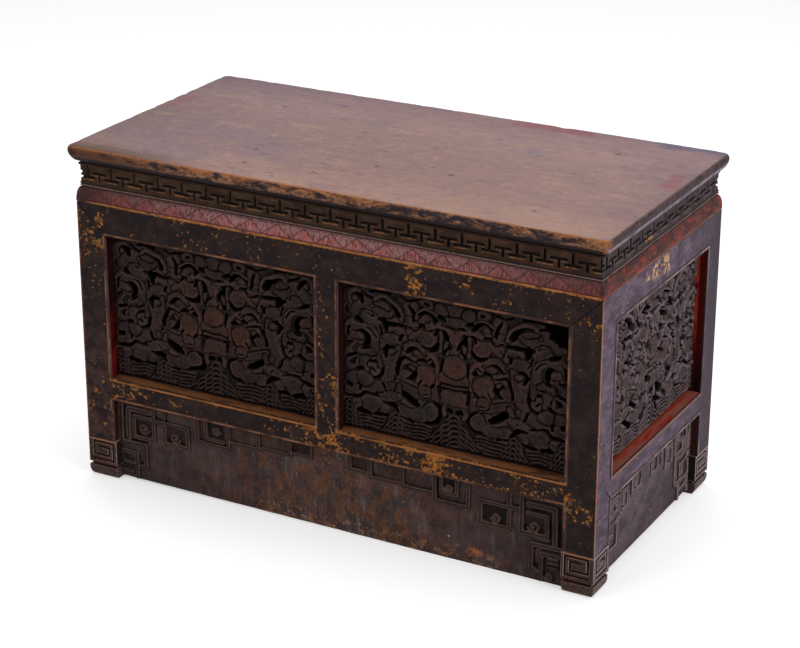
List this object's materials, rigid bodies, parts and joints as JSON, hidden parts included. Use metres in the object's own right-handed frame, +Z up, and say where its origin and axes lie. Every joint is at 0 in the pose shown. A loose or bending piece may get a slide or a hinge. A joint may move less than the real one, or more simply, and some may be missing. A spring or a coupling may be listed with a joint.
{
  "type": "carved bench",
  "caption": "Low rectangular bench with a thick top, fretted waist, red moulding, pierced carved panels and boards carved with square spirals between its feet.",
  "frame": {"origin": "on the floor, under the middle of the top board", "axes": "+X along the length, to the right seen from the front; +Y towards the back; +Z up"},
  "size_m": [0.703, 0.3556, 0.43],
  "materials": {
    "top_wood": "worn lacquered plank, dusty brown and mauve with ochre edges",
    "waist_wood": "dark olive brown, worn ochre on the raised fret",
    "moulding_red": "worn red lacquer with a dark zig-zag",
    "frame_lacquer": "near black lacquer with flaked gilt flowers and orange worn arrises",
    "panel_wood": "dark brown carved wood, dusty on raised parts",
    "lowboard_wood": "worn grey brown wood with orange patches",
    "inner_wood": "bare unfinished wood",
    "bamboo": "split bamboo"
  },
  "bodies": {
    "root": {"top_board": "top_wood", "batten_left": "inner_wood", "batten_right": "inner_wood", "waist_front": "waist_wood", "waist_right": "waist_wood", "waist_back": "waist_wood", "waist_left": "waist_wood", "moulding_front": "moulding_red", "moulding_right": "moulding_red", "moulding_back": "moulding_red", "moulding_left": "moulding_red", "apron_front": "frame_lacquer", "apron_right": "frame_lacquer", "apron_back": "frame_lacquer", "apron_left": "frame_lacquer", "leg_front_left": "frame_lacquer", "leg_front_right": "frame_lacquer", "leg_back_left": "frame_lacquer", "leg_back_right": "frame_lacquer", "midrail_front": "frame_lacquer", "midrail_right": "frame_lacquer", "midrail_back": "frame_lacquer", "midrail_left": "frame_lacquer", "stile_front": "frame_lacquer", "stile_back": "frame_lacquer", "panel_front_left": "panel_wood", "panel_front_right": "panel_wood", "panel_right": "panel_wood", "panel_left": "panel_wood", "panel_back_left": "frame_lacquer", "panel_back_right": "frame_lacquer", "lowboard_front": "lowboard_wood", "lowboard_right": "lowboard_wood", "lowboard_back": "lowboard_wood", "lowboard_left": "lowboard_wood", "waist_pins": "bamboo"}
  },
  "joints": []
}
